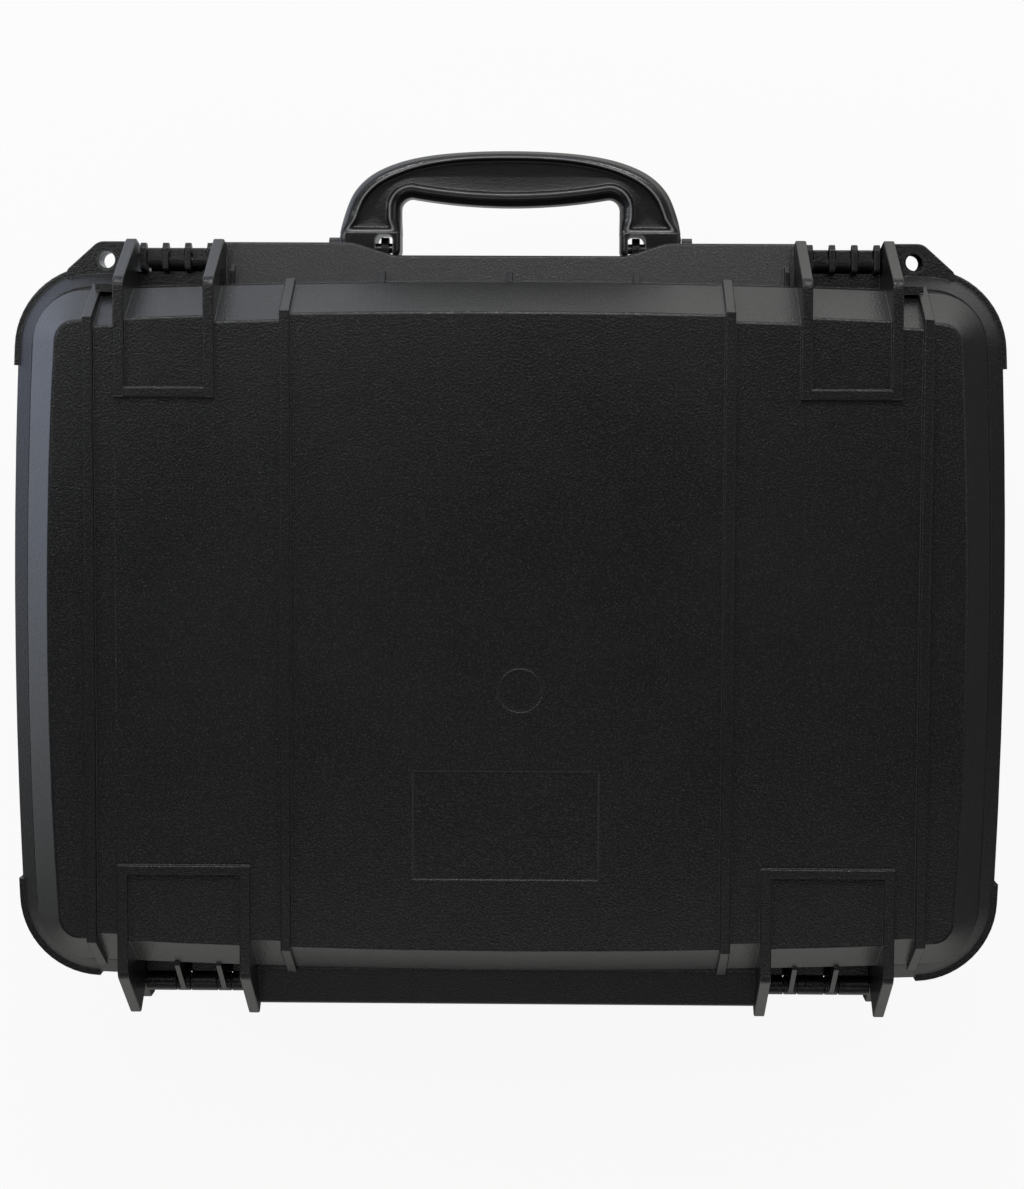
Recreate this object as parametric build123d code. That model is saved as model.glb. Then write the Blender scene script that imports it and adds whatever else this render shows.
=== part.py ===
"""Hard case for a laptop: two moulded shells on a pair of pin hinges, two draw latches and a handle.

Millimetres. The closed case lies on its base: X runs across it, -Y is the front with the handle and
the latches, +Y is the back with the hinges, and +Z is up. The origin is on the floor, under the
middle of the case. Everything is mirrored about X = 0, apart from the gate mark on the lid.
"""
from build123d import *
from math import radians, tan
import os

# ---------------------------------------------------------------- driving dimensions
# Plan of the case at the parting plane
rim_width = 494.0            # across the sealing rim, side to side
rim_depth = 360.6            # across the sealing rim, front to back, without the flanges
rim_corner = 40.0
rim_overhang = 11.2          # the rim beyond the foot of the lid's bevel
side_bow = 5.0               # each side bulges this far beyond a straight line, corner to corner
front_bow = 5.4              # the same for the front and the back
root_depth = 19.1            # features start this far inside the walls, before the cavity is cut

# Heights
foot_height = 2.5            # the ribs under the base, which the case stands on
base_height = 115.5          # base floor to parting plane
lid_height = 50.0            # lid underside to lid face
parting_gap = 0.4
wall = 4.0
top_wall = 3.5

# Bevels and walls
lid_bevel_run = 15.0
lid_bevel_drop = 26.0
recess_bevel_extra = 3.0     # the bevel is this much wider in the recessed strips of the lid
lid_wall_draft = 2.0
base_bevel_run = 10.0
base_bevel_rise = 13.5
base_wall_draft = 6.5
face_corner = 10.0
bevel_corner = 26.0
wall_corner = 30.0

# Sealing land and gasket
seal_land = 9.0              # wall thickness at the parting plane
groove_inset = 4.4           # groove's centre line, inside the outer wall
groove_width = 5.0
groove_depth = 4.0
gasket_clearance = 0.1
gasket_proud = 0.9           # the gasket stands out of the lid's groove
seat_width = 6.2
seat_depth = 1.2             # matching channel in the base

# Ribs that run over the lid and the base
rib_width = 5.0
rib_height = 2.5
rib_edge = 0.8
mid_rib_x = 106.2
end_rib_inset = 35.5
cross_rib_inset = 57.1       # ribs that join the middle pair under the base

# Softened edges
face_edge = 1.8              # lid face to bevel, and bevel to wall
rim_edge = 0.9
plate_edge = 0.7             # guards, bars and tabs
small_edge = 0.4             # ridges, gussets and webs
flange_edge = 1.4
overlap = 2.0                # small webs start this far inside what they stand on

# Guards round the latches and the hinges: pairs of fins joined by a bar on the lid
fin_width = 5.3
latch_fin_inner_inset = 93.4
latch_fin_outer_inset = 50.4
hinge_fin_inner_inset = 109.9
hinge_fin_outer_inset = 50.6
guard_bar_inset = 56.2       # inner side of the bars, from the middle of the case
guard_bar_width = 4.7
fin_top_width = 21.5         # front fins, where they are tallest
fin_top_drop = 36.0          # below the lid face
hinge_fin_depth = 24.4
hinge_fin_relief = 52.0      # degrees, half of the room for the lid to swing back
base_fin_depth = 18.4
base_fin_length = 80.0

# Front flange. Widths and offsets in Y are from the foot of the bevel, half_y, in all groups
flange_width = 20.5
flange_thickness = 5.0
flange_rise = 3.6            # the lid's flange is this much thicker at its root
flange_dip_width = 14.2      # lower edge between the handle's arms
flange_dip_half = 57.0
flange_dip_ramp = 20.0
gusset_x = 62.5

# Padlock tabs. Insets in X are from the foot of the bevel, half_x, in all groups
tab_thickness = 7.5
padlock_inset_x = 37.1
padlock_offset_y = 11.4
padlock_hole_radius = 4.05
sleeve_wall = 0.95
padlock_room = 1.6           # space round a shackle, above and below the tabs

# Corner bumpers
bumper_proud = 1.3
bumper_height = 6.0
bumper_inset_y = 40.6
bumper_inset_x = 30.8
bumper_front_inset = 17.3

# Hinges
hinge_offset = 12.4
knuckle_radius = 4.7
hinge_pin_radius = 2.0
lid_knuckle_offset = (16.7, 37.3)    # from the inner hinge fin
lid_knuckle_width = 6.6
knuckle_gap = 0.4
lid_knuckle_web = 2.4        # webs above the lid's knuckles
sill_clearance = 2.0         # ledge under the knuckles, inwards from the axis
sill_drop = 12.0             # below the parting plane
sill_height = 10.0
running_clearance = 0.06

# Latches, from the guard's middle outwards
latch_pin_offset = 11.6
latch_pin_rise = 3.0         # above the lid's underside
latch_pin_radius = 1.75
knuckle_plate_width = 3.0
latch_plate_inset = 2.35     # outer plates' middles, inside the guard fins
knuckle_depth = 19.8
latch_knuckle_radius = 4.0
latch_nose = 5.8             # flat tops of the lever's knuckles, outwards from the pin
latch_side_gap = 1.4
latch_face_offset = 15.9
latch_plate = 3.7
latch_length = 50.0
link_drop = 9.0              # link pin below the pivot pin
link_inset = 3.1             # and towards the case
link_pin_radius = 1.25
claw_radius = 3.2
claw_plate = 3.6
claw_side_gap = 0.4
cheek_width = 3.2            # lever's cheeks, on both sides of the claw
hook_depth = 30.0            # top of the hook, below the parting plane
hook_height = 4.2
catch_height = 7.5
catch_depth = 6.1
bay_face_offset = 1.4
hook_tip_gap = 0.8
grip_rib_count = 5           # ribs across each lever's face
grip_rib_pitch = 4.0
catch_gap = 0.4

# Handle
handle_pin_offset = 18.7
handle_top_gap = 1.5         # handle's side, below the parting plane
handle_pin_radius = 2.5
handle_thickness = 24.0
handle_half_width = 84.9
handle_opening_half = 54.6
handle_rise = 48.0           # grip's top above the pin
grip_underside = 21.5        # middle of the grip's underside above the pin
grip_sag = 3.9
handle_foot = 5.4            # arms below the pin
handle_shoulder = 4.0        # the outer curve starts this far above the pin
# Points of the handle's outer curve and of its hollow's: from the middle, and below the handle's top
handle_crown = ((76.0, 23.8), (55.0, 7.4), (20.0, 1.1))
hollow_crown = ((71.5, 26.5), (52.5, 11.6), (19.0, 5.3))
handle_edge = 3.0
handle_recess_depth = 4.0
handle_recess_margin = 4.2
handle_arm_lip = 7.0
handle_foot_lip = 7.9
notch_inner_x = 58.4
notch_outer_x = 66.9
lug_thickness = 3.8
lug_radius = 5.4
handle_side_gap = 0.7

# Marks on the lid
label_width = 89.5
label_depth = 52.6
label_inset = 76.1
label_sink = 0.6
gate_x = -6.7
gate_y = 26.8
gate_radius = 11.0
gate_line = 0.8

# Foam lining
foam_gap = 0.6
layer_gap = 0.3
tray_top_drop = 3.0          # tray's top below the parting plane
lid_foam_drop = 1.5          # lid foam's lowest point above the parting plane
foam_end = 28.8              # foam between the laptop's pocket and the base's inner walls, at the ends
foam_side = 22.1             # and along the front and the back
laptop_pocket = 42.0
pocket_corner = 12.0
charger_width = 170.0
charger_depth = 105.0
accessory_pocket = 36.0
charger_x = 90.0
charger_y = 55.0
mouse_width = 120.0
mouse_depth = 80.0
mouse_x = -110.0
mouse_y = 55.0
finger_width_x = 36.0        # finger recesses, half of them inside the pocket
finger_width_y = 57.6

# Pressure valve in the front wall of the base
valve_z = 38.0
valve_radius = 11.0
valve_head = 3.2
valve_flutes = 12
valve_stem_radius = 6.0
valve_boss_radius = 14.0
valve_boss_offset = 0.4
valve_inner_inset = 10.1
valve_seal_thickness = 1.2
valve_nut_radius = 10.0
valve_nut_thickness = 5.0
valve_plug_radius = 4.0

# ---------------------------------------------------------------- derived positions
parting_z = foot_height + base_height
lid_z = parting_z + parting_gap
face_z = lid_z + lid_height
hinge_z = parting_z + parting_gap / 2
bevel_z = face_z - lid_bevel_drop
half_x = rim_width / 2 - rim_overhang
half_y = rim_depth / 2 - rim_overhang
wall_half_x = half_x + lid_wall_draft
wall_half_y = half_y + lid_wall_draft
cavity_half_x = wall_half_x - seal_land
cavity_half_y = wall_half_y - seal_land
deep_root = half_y - root_depth
flange_reach = half_y + flange_width
guard_bar_y = half_y - guard_bar_inset
fin_top_reach = half_y + fin_top_width
hinge_fin_reach = half_y + hinge_fin_depth
base_fin_reach = half_y + base_fin_depth
flange_dip_reach = half_y + flange_dip_width
padlock_y = half_y + padlock_offset_y
bumper_front_y = half_y - bumper_inset_y
hinge_axis_y = half_y + hinge_offset
latch_pin_y = half_y + latch_pin_offset
knuckle_reach = half_y + knuckle_depth
latch_face_y = half_y + latch_face_offset
catch_reach = half_y + catch_depth
bay_face_y = half_y + bay_face_offset
handle_pin_y = half_y + handle_pin_offset
label_y = half_y - label_inset
valve_boss_y = half_y + valve_boss_offset
valve_inner_y = half_y - valve_inner_inset
cross_rib_y = half_y - cross_rib_inset
end_rib_x = half_x - end_rib_inset
latch_fin_inner_x = half_x - latch_fin_inner_inset
latch_fin_outer_x = half_x - latch_fin_outer_inset
hinge_fin_inner_x = half_x - hinge_fin_inner_inset
hinge_fin_outer_x = half_x - hinge_fin_outer_inset
padlock_x = half_x - padlock_inset_x
bumper_side_x = half_x - bumper_inset_x
latch_x = (latch_fin_inner_x + latch_fin_outer_x) / 2
latch_bay_half = (latch_fin_outer_x - latch_fin_inner_x - fin_width) / 2
hinge_bay = (hinge_fin_inner_x + fin_width / 2, hinge_fin_outer_x - fin_width / 2)
knuckle_pitch = 2 * (latch_bay_half - latch_plate_inset) / 3
latch_pin_z = lid_z + latch_pin_rise
link_pin_y = latch_pin_y - link_inset
link_pin_z = latch_pin_z - link_drop
handle_pin_z = parting_z - handle_top_gap - handle_thickness / 2
guard_edge_x = latch_fin_outer_x + fin_width / 2
lid_knuckle_x = [hinge_fin_inner_x + offset for offset in lid_knuckle_offset]
laptop_width = 2 * (cavity_half_x - foam_end)
laptop_depth = 2 * (cavity_half_y - foam_side)

SIDES = {"left": -1, "right": 1}


# ---------------------------------------------------------------- shape helpers
def outline(reach_x, reach_y, corner, z):
    """Rectangle with gently bowed sides and round corners, level at z."""
    corner_x = reach_x - side_bow
    corner_y = reach_y - front_bow
    edges = [
        ThreePointArc((-corner_x, -corner_y), (0, -reach_y), (corner_x, -corner_y)),
        ThreePointArc((corner_x, -corner_y), (reach_x, 0), (corner_x, corner_y)),
        ThreePointArc((corner_x, corner_y), (0, reach_y), (-corner_x, corner_y)),
        ThreePointArc((-corner_x, corner_y), (-reach_x, 0), (-corner_x, -corner_y)),
    ]
    sharp = make_face(edges)
    return Pos(0, 0, z) * fillet(sharp.vertices(), corner)


def stack(*levels):
    """Solid through outlines, each given as (reach_x, reach_y, corner, z) from the lowest up."""
    return loft([outline(*level) for level in levels], ruled=True)


def block(x0, x1, y0, y1, z0, z1):
    """Box between two corners, in any order."""
    size = (abs(x1 - x0), abs(y1 - y0), abs(z1 - z0))
    return Pos((x0 + x1) / 2, (y0 + y1) / 2, (z0 + z1) / 2) * Box(*size)


def prism(points, height, radius, edge):
    """Upright prism on a polygon with round corners; its two rims are softened by edge."""
    profile = make_face(FilletPolyline(*points, radius=radius, close=True))
    solid = extrude(profile, height)
    if not edge:
        return solid
    rims = [e for e in solid.edges() if abs(e.tangent_at(0.5).Z) < 0.01]
    return fillet(rims, edge)


def side_plate(points, x, width, radius=0.0, edge=0.0):
    """Upright plate across X: a (y, z) polygon, with one corner radius or a list of them."""
    return Plane.YZ.offset(x - width / 2) * prism(points, width, radius, edge)


def flat_plate(points, z0, z1, radius=0.0, edge=0.0):
    """Level plate: an (x, y) polygon between two heights."""
    return Pos(0, 0, z0) * prism(points, z1 - z0, radius, edge)


def soft_block(x0, x1, y0, y1, z0, z1, edge):
    """Box between two corners with all its edges softened."""
    solid = block(x0, x1, y0, y1, z0, z1)
    return fillet(solid.edges(), edge)


def edges_at(solid, *heights):
    """Level edges of a solid at any of the heights."""
    level = [e for e in solid.edges() if abs((e @ 0).Z - (e @ 1).Z) < 0.01]
    return [e for e in level if min(abs(e.center().Z - z) for z in heights) < 0.01]


def rod(x0, x1, y, z, radius):
    """Round bar along X."""
    return Pos((x0 + x1) / 2, y, z) * Rot(0, 90, 0) * Cylinder(radius, abs(x1 - x0))


def upright(x, y, z0, z1, radius):
    """Round bar along Z."""
    return Pos(x, y, (z0 + z1) / 2) * Cylinder(radius, z1 - z0)


def both_sides(shape):
    """The shape and its mirror image about X = 0."""
    return shape + mirror(shape, Plane.YZ)


def front(points):
    """(distance to the front, z) points as (y, z)."""
    return [(-reach, z) for reach, z in points]


# ---------------------------------------------------------------- lid
def lid_outer(narrowing):
    """Lid without ribs; the bevel is widened by narrowing where it meets the face."""
    run = lid_bevel_run + narrowing
    sharp = stack(
        (wall_half_x, wall_half_y, wall_corner, lid_z),
        (half_x, half_y, bevel_corner, bevel_z),
        (half_x - run, half_y - run, face_corner, face_z),
    )
    return fillet(edges_at(sharp, bevel_z, face_z), face_edge)


def rib_skin():
    """Outer surface of the lid's ribs, a rib's height above the face and the bevel."""
    slope = (lid_bevel_run**2 + lid_bevel_drop**2) ** 0.5
    low = rib_height * slope / lid_bevel_drop
    high = low - rib_height * lid_bevel_run / lid_bevel_drop - lid_bevel_run
    return stack(
        (half_x + low, half_y + low, bevel_corner, bevel_z),
        (half_x + high, half_y + high, face_corner, face_z + rib_height),
    )


def lid_ribs():
    """Four ribs over the face and both bevels, with softened edges."""
    skin = rib_skin()
    ribs = []
    half = rib_width / 2
    for x in (mid_rib_x, end_rib_x):
        strip = block(x - half, x + half, -rim_depth, rim_depth, bevel_z, face_z + rib_height)
        rib = skin & strip
        crest = [e for e in rib.edges() if e.center().Z > bevel_z + 2 and abs(e.tangent_at(0.5).X) < 0.3]
        ribs.append(fillet(crest, rib_edge))
    return both_sides(ribs[0] + ribs[1])


def recessed_strips():
    """Strips of the lid between the ribs and the guards, where the bevel is wider."""
    deep = (bevel_z - 1, face_z + 1)
    rib_side = mid_rib_x + rib_width / 2
    latch_inner = latch_fin_inner_x - fin_width / 2
    hinge_inner = hinge_fin_inner_x - fin_width / 2
    end_side = end_rib_x - rib_width / 2
    strips = block(rib_side, latch_inner, 0, -rim_depth, *deep)
    strips += block(guard_edge_x, end_side, 0, -rim_depth, *deep)
    strips += block(rib_side, hinge_inner, 0, rim_depth, *deep)
    strips += block(guard_edge_x, end_side, 0, rim_depth, *deep)
    return both_sides(strips)


def hinge_fin_tip(direction):
    """Height of the end of a hinge fin's sloped edge, on the lid (1) or on the base (-1)."""
    return hinge_z + direction * (hinge_fin_reach - hinge_axis_y) * tan(radians(hinge_fin_relief))


def lid_guards():
    """Fins beside the latches and the hinges, and the bars that join them on the face."""
    top = face_z + rib_height
    latch_fin = front([
        (guard_bar_y, bevel_z - 4), (guard_bar_y, top), (half_y, top),
        (fin_top_reach, face_z - fin_top_drop), (fin_top_reach - 3.0, lid_z), (deep_root, lid_z),
        (deep_root, bevel_z - 4),
    ])
    tip_z = hinge_fin_tip(1)
    hinge_fin = [
        (guard_bar_y, bevel_z - 4), (guard_bar_y, top), (half_y - 1.5, top),
        (hinge_fin_reach, tip_z + 1.5), (hinge_fin_reach, tip_z), (hinge_axis_y, lid_z), (deep_root, lid_z),
        (deep_root, bevel_z - 4),
    ]
    guards = None
    for x in (latch_fin_inner_x, latch_fin_outer_x):
        fin = side_plate(latch_fin, x, fin_width, [0, 0, 6, 3, 0, 0, 0], plate_edge)
        guards = fin if guards is None else guards + fin
    for x in (hinge_fin_inner_x, hinge_fin_outer_x):
        guards += side_plate(hinge_fin, x, fin_width, [0, 0, 6, 1.5, 1.5, 0, 0, 0], plate_edge)
    bar_y = (guard_bar_y, guard_bar_y + guard_bar_width)
    bar_z = (bevel_z, top)
    guards += soft_block(latch_fin_inner_x, latch_fin_outer_x, -bar_y[0], -bar_y[1], *bar_z, plate_edge)
    guards += soft_block(hinge_fin_inner_x, hinge_fin_outer_x, *bar_y, *bar_z, plate_edge)
    return guards


def rim(z_edge, z_step, z_wall, edge_corner):
    """Ends of the sealing rim: upright at the parting plane, then sloped back to the wall."""
    edge_x = rim_width / 2
    edge_y = rim_depth / 2
    levels = [
        (edge_x, edge_y, edge_corner, z_edge),
        (edge_x - 0.6, edge_y - 0.6, edge_corner - 0.6, z_step),
        (half_x + 2.4, half_y + 2.4, wall_corner, z_wall),
    ]
    if z_wall < z_edge:
        levels.reverse()
    low = min(z_edge, z_wall)
    high = max(z_edge, z_wall)
    ends = block(guard_edge_x - 1.0, rim_width, -rim_depth, rim_depth, low, high)
    band = stack(*levels)
    return fillet(edges_at(band, z_edge, z_step), rim_edge) & both_sides(ends)


def bumpers(z0, z1):
    """Thickened corners of the rim."""
    thick = stack(
        (rim_width / 2 + bumper_proud, rim_depth / 2 + bumper_proud, rim_corner + bumper_proud, z0),
        (rim_width / 2 + bumper_proud, rim_depth / 2 + bumper_proud, rim_corner + bumper_proud, z1),
    )
    zone = block(half_x - bumper_front_inset, rim_width, -bumper_front_y, -rim_depth, z0, z1)
    zone += block(bumper_side_x, rim_width, bumper_front_y, rim_depth, z0, z1)
    return fillet(edges_at(thick, z0, z1), rim_edge) & both_sides(zone)


def tabs(z0, z1):
    """Padlock tabs at the front corners."""
    edge = [
        (guard_edge_x - 1, -deep_root), (guard_edge_x - 1, -flange_reach), (padlock_x + 4.2, -flange_reach),
        (padlock_x + 20.0, -padlock_y + 5.0), (padlock_x + 20.0, -deep_root),
    ]
    return both_sides(flat_plate(edge, z0, z1, [0, 0, 7, 3, 0], plate_edge))


def padlock_holes(z0, z1, z_clear):
    """Holes for the sleeves, and clear space beyond them up or down to z_clear."""
    hole = upright(padlock_x, -padlock_y, z0, z1, padlock_hole_radius + sleeve_wall)
    room = padlock_hole_radius + padlock_room
    hole += upright(padlock_x, -padlock_y, min(z1, z_clear), max(z0, z_clear), room)
    return both_sides(hole)


def lid_flange():
    """Flange between the latch guards: lower between the handle's arms, and thicker at its root."""
    z0 = lid_z
    z1 = lid_z + flange_thickness
    end = latch_fin_inner_x
    half = flange_dip_half
    outer = half + flange_dip_ramp
    rise = flange_rise * (flange_reach - deep_root) / (flange_reach - half_y)
    points = [
        (-end, -deep_root), (-end, -flange_reach), (-outer, -flange_reach), (-half, -flange_dip_reach),
        (half, -flange_dip_reach), (outer, -flange_reach), (end, -flange_reach), (end, -deep_root),
    ]
    plate = flat_plate(points, z0, z1 + rise, [0, 0, 16, 16, 16, 16, 0, 0])
    wedge = front([(deep_root, z0), (deep_root, z1 + rise), (flange_reach, z1), (flange_reach, z0)])
    plate &= side_plate(wedge, 0, 2 * end)
    lips = [e for e in plate.edges() if e.center().Y < -half_y - 10 and abs(e.tangent_at(0.5).Z) < 0.3]
    return fillet(lips, flange_edge)


def base_flange(z0, z1):
    """Flanges between the handle's arms and the latch guards."""
    inner = handle_half_width + handle_side_gap
    return both_sides(soft_block(inner, latch_fin_inner_x, -deep_root, -flange_reach, z0, z1, flange_edge))


def lid_gussets():
    """Small webs between the front wall and the flange, and the slim ones beside the guards."""
    top = lid_z + flange_thickness
    foot = top - overlap
    web = front([
        (deep_root, foot), (deep_root, top + 10), (half_y, top + 10), (half_y + 6.5, top + 3.6),
        (half_y + 6.5, foot),
    ])
    gussets = None
    for x in (-gusset_x, 0, gusset_x):
        plate = side_plate(web, x, 3.0, 0.0, small_edge)
        gussets = plate if gussets is None else gussets + plate
    slim = front([
        (deep_root, foot), (deep_root, top + 8), (half_y + 6, top + 8), (half_y + 9, top + 5),
        (half_y + 9, foot),
    ])
    return gussets + both_sides(side_plate(slim, latch_fin_inner_x - 6.2, 2.4, 0.0, small_edge))


def eave(direction):
    """Overhang between the hinge guards; the lid's and the base's meet when the lid is open."""
    z = hinge_z
    lift = direction * parting_gap / 2
    profile = [
        (deep_root, z + lift), (hinge_axis_y - 0.2, z + lift), (flange_reach - 0.3, z + direction * 10.6),
        (flange_reach - 0.3, z + direction * 14.0), (half_y + 1.0, z + direction * 22.0),
        (deep_root, z + direction * 22.0),
    ]
    return side_plate(profile, 0, 2 * hinge_fin_inner_x - fin_width + 2.0, [0, 0, 0.8, 2.5, 3, 0])


def knuckle(x, width, web_width, direction):
    """Hinge knuckle on its sloped web, up to the lid (1) or down to the base (-1)."""
    z = hinge_z
    web = [
        (deep_root, z + direction * parting_gap / 2), (deep_root, z + direction * 25.0),
        (half_y - 1.0, z + direction * 25.0), (hinge_axis_y + 3.4, z + direction * 3.3),
        (hinge_axis_y, z + direction * parting_gap / 2),
    ]
    barrel = rod(x - width / 2, x + width / 2, hinge_axis_y, z, knuckle_radius)
    return side_plate(web, x, web_width) + fillet(barrel.edges(), small_edge)


def base_knuckles():
    """(middle, width) of each knuckle on the base, in the gaps between the lid's."""
    first, last = hinge_bay
    edges = [first]
    for x in lid_knuckle_x:
        edges += [x - lid_knuckle_width / 2, x + lid_knuckle_width / 2]
    edges.append(last)
    spans = []
    for low, high in zip(edges[0::2], edges[1::2]):
        spans.append(((low + high) / 2, high - low - 2 * knuckle_gap))
    return spans


def latch_ridges():
    """Plates on the lid that carry each latch's pivot pin."""
    offsets = [(i - 1.5) * knuckle_pitch for i in range(4)]
    ridge = front([
        (deep_root, lid_z), (latch_pin_y + 3.8, lid_z), (knuckle_reach, lid_z + 5.5),
        (knuckle_reach, lid_z + 8.0), (knuckle_reach - 2.5, lid_z + 10.0), (latch_pin_y - 5.2, lid_z + 10.0),
        (latch_pin_y - 6.4, lid_z + 2.6), (deep_root, lid_z + 2.6),
    ])
    bends = [0, 1, 1, 0.9, 1.5, 1.5, 0, 0]
    plates = None
    for offset in offsets:
        plate = side_plate(ridge, latch_x + offset, knuckle_plate_width, bends, small_edge)
        plates = plate if plates is None else plates + plate
    inner = latch_x - latch_bay_half
    outer = latch_x + latch_bay_half
    floor = block(inner - 1, outer + 1, -deep_root, -(latch_pin_y - 5.6), lid_z, lid_z + 2.6)
    return both_sides(plates + floor)


def lid_marks():
    """Sunk label panel and the ring left by the moulding gate."""
    half_w = label_width / 2
    half_d = label_depth / 2
    label = block(-half_w, half_w, label_y - half_d, label_y + half_d, face_z - label_sink, face_z + 1)
    ring = upright(gate_x, gate_y, face_z - 0.25, face_z + 1, gate_radius)
    ring -= upright(gate_x, gate_y, face_z - 1, face_z + 2, gate_radius - gate_line)
    return label + ring


def groove_ring(depth, width, z, direction):
    """Channel round the sealing land, cut upwards (1) or downwards (-1) from z."""
    centre_x = wall_half_x - groove_inset
    centre_y = wall_half_y - groove_inset
    low = min(z, z + direction * depth)
    high = max(z, z + direction * depth)
    outer = width / 2
    ring = stack((centre_x + outer, centre_y + outer, wall_corner - groove_inset + outer, low),
                 (centre_x + outer, centre_y + outer, wall_corner - groove_inset + outer, high))
    hole = stack((centre_x - outer, centre_y - outer, wall_corner - groove_inset - outer, low),
                 (centre_x - outer, centre_y - outer, wall_corner - groove_inset - outer, high))
    return ring - hole


def lid_cavity():
    """Hollow of the lid, from the parting plane to the underside of its face."""
    inset = lid_bevel_run + 3.4
    shoulder = bevel_z + 2.0
    corner = wall_corner - seal_land
    return stack(
        (cavity_half_x, cavity_half_y, corner, lid_z - 1),
        (cavity_half_x - 1.0, cavity_half_y - 1.0, corner, shoulder),
        (half_x - inset, half_y - inset, face_corner, face_z - top_wall),
    )


def rib_return():
    """Low rib across the foot of the bevel, from each end rib to its latch guard."""
    top = face_z - lid_bevel_drop + 6.5
    bar = block(latch_fin_outer_x, end_rib_x, -(half_y - 5.5), -(half_y - 1.2), bevel_z - 4, top)
    return both_sides(bar)


def make_lid():
    """Lid shell with its ribs, guards, flanges, tabs and hinge knuckles."""
    body = lid_outer(0) - ((lid_outer(0) - lid_outer(recess_bevel_extra)) & recessed_strips())
    body += rim(lid_z, lid_z + flange_thickness, lid_z + 14.0, rim_corner)
    body += bumpers(lid_z, lid_z + bumper_height)
    body += tabs(lid_z, lid_z + tab_thickness)
    body += lid_flange()
    body += lid_gussets()
    body += eave(1)
    body += lid_ribs()
    body += both_sides(lid_guards())
    body += rib_return()
    body += latch_ridges()
    for x in lid_knuckle_x:
        body += both_sides(knuckle(x, lid_knuckle_width, lid_knuckle_web, 1))
    body -= padlock_holes(lid_z, lid_z + tab_thickness, face_z)
    body -= lid_marks()
    body -= lid_cavity()
    body -= groove_ring(groove_depth, groove_width, lid_z, 1)
    first, last = hinge_bay
    body -= both_sides(rod(first - 1, last + 1, hinge_axis_y, hinge_z, hinge_pin_radius))
    half = latch_bay_half
    body -= both_sides(rod(latch_x - half, latch_x + half, -latch_pin_y, latch_pin_z, latch_pin_radius))
    return body


# ---------------------------------------------------------------- base
def base_outer(extra):
    """Base without its features; extra lifts the surface for the ribs."""
    low = foot_height - extra
    inset = base_wall_draft - 1 + base_bevel_run - extra
    sharp = stack(
        (half_x - inset, half_y - inset, face_corner, low),
        (half_x - base_wall_draft + 2 + extra, half_y - base_wall_draft + 2 + extra, bevel_corner,
         foot_height + base_bevel_rise),
        (wall_half_x + extra, wall_half_y + extra, wall_corner, parting_z),
    )
    return fillet(edges_at(sharp, low, foot_height + base_bevel_rise), face_edge)


def base_ribs():
    """Ribs up the front and back walls and across the floor of the base."""
    skin = base_outer(rib_height)
    ribs = None
    for x in (mid_rib_x, end_rib_x):
        strip = block(x - rib_width / 2, x + rib_width / 2, -rim_depth, rim_depth, 0, parting_z - 2.0)
        rib = skin & strip
        crest = [e for e in rib.edges() if abs(e.tangent_at(0.5).X) < 0.3 and e.center().Z < parting_z - 3]
        rib = fillet(crest, rib_edge)
        ribs = rib if ribs is None else ribs + rib
    ribs = both_sides(ribs)
    for y in (-cross_rib_y, cross_rib_y):
        half = rib_width / 2
        ribs += block(-mid_rib_x, mid_rib_x, y - half, y + half, 0, foot_height + 1.0)
    return ribs


def base_guards():
    """Fins on the base that carry on the lines of the lid's."""
    z = parting_z
    latch_fin = front([
        (deep_root, z), (base_fin_reach - 1.0, z), (base_fin_reach, z - 4),
        (base_fin_reach, z - base_fin_length + 25), (half_y - 2, z - base_fin_length),
        (deep_root, z - base_fin_length),
    ])
    tip_z = hinge_fin_tip(-1)
    hinge_fin = [
        (deep_root, z), (hinge_axis_y, z), (hinge_fin_reach, tip_z), (hinge_fin_reach, tip_z - 10),
        (half_y - 2, z - base_fin_length + 10), (deep_root, z - base_fin_length + 10),
    ]
    guards = None
    for x in (latch_fin_inner_x, latch_fin_outer_x):
        fin = side_plate(latch_fin, x, fin_width, [0, 0, 3, 10, 6, 0], plate_edge)
        guards = fin if guards is None else guards + fin
    for x in (hinge_fin_inner_x, hinge_fin_outer_x):
        guards += side_plate(hinge_fin, x, fin_width, [0, 0, 1.5, 8, 6, 0], plate_edge)
    return both_sides(guards)


def latch_bay():
    """Flat pad behind each latch, with the catch that its claw hooks under."""
    half = latch_bay_half + 1
    pad_low = parting_z - base_fin_length + 6
    pad = block(latch_x - half, latch_x + half, -deep_root, -bay_face_y, pad_low, parting_z)
    top = parting_z - hook_depth + catch_gap + catch_height
    low = parting_z - hook_depth + catch_gap
    catch = front([
        (deep_root, low), (catch_reach, low), (catch_reach, top - 2.5), (bay_face_y, top + 2),
        (deep_root, top + 2),
    ])
    return both_sides(pad + side_plate(catch, latch_x, 26.0, [0, 0.6, 1.5, 0, 0]))


def hinge_sill():
    """Ledge under the hinge's knuckles, from fin to fin, that closes the gap behind them."""
    first, last = hinge_bay
    edge_y = hinge_axis_y - sill_clearance
    top = parting_z - sill_drop
    return both_sides(block(first - 1, last + 1, deep_root, edge_y, top - sill_height, top))


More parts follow.
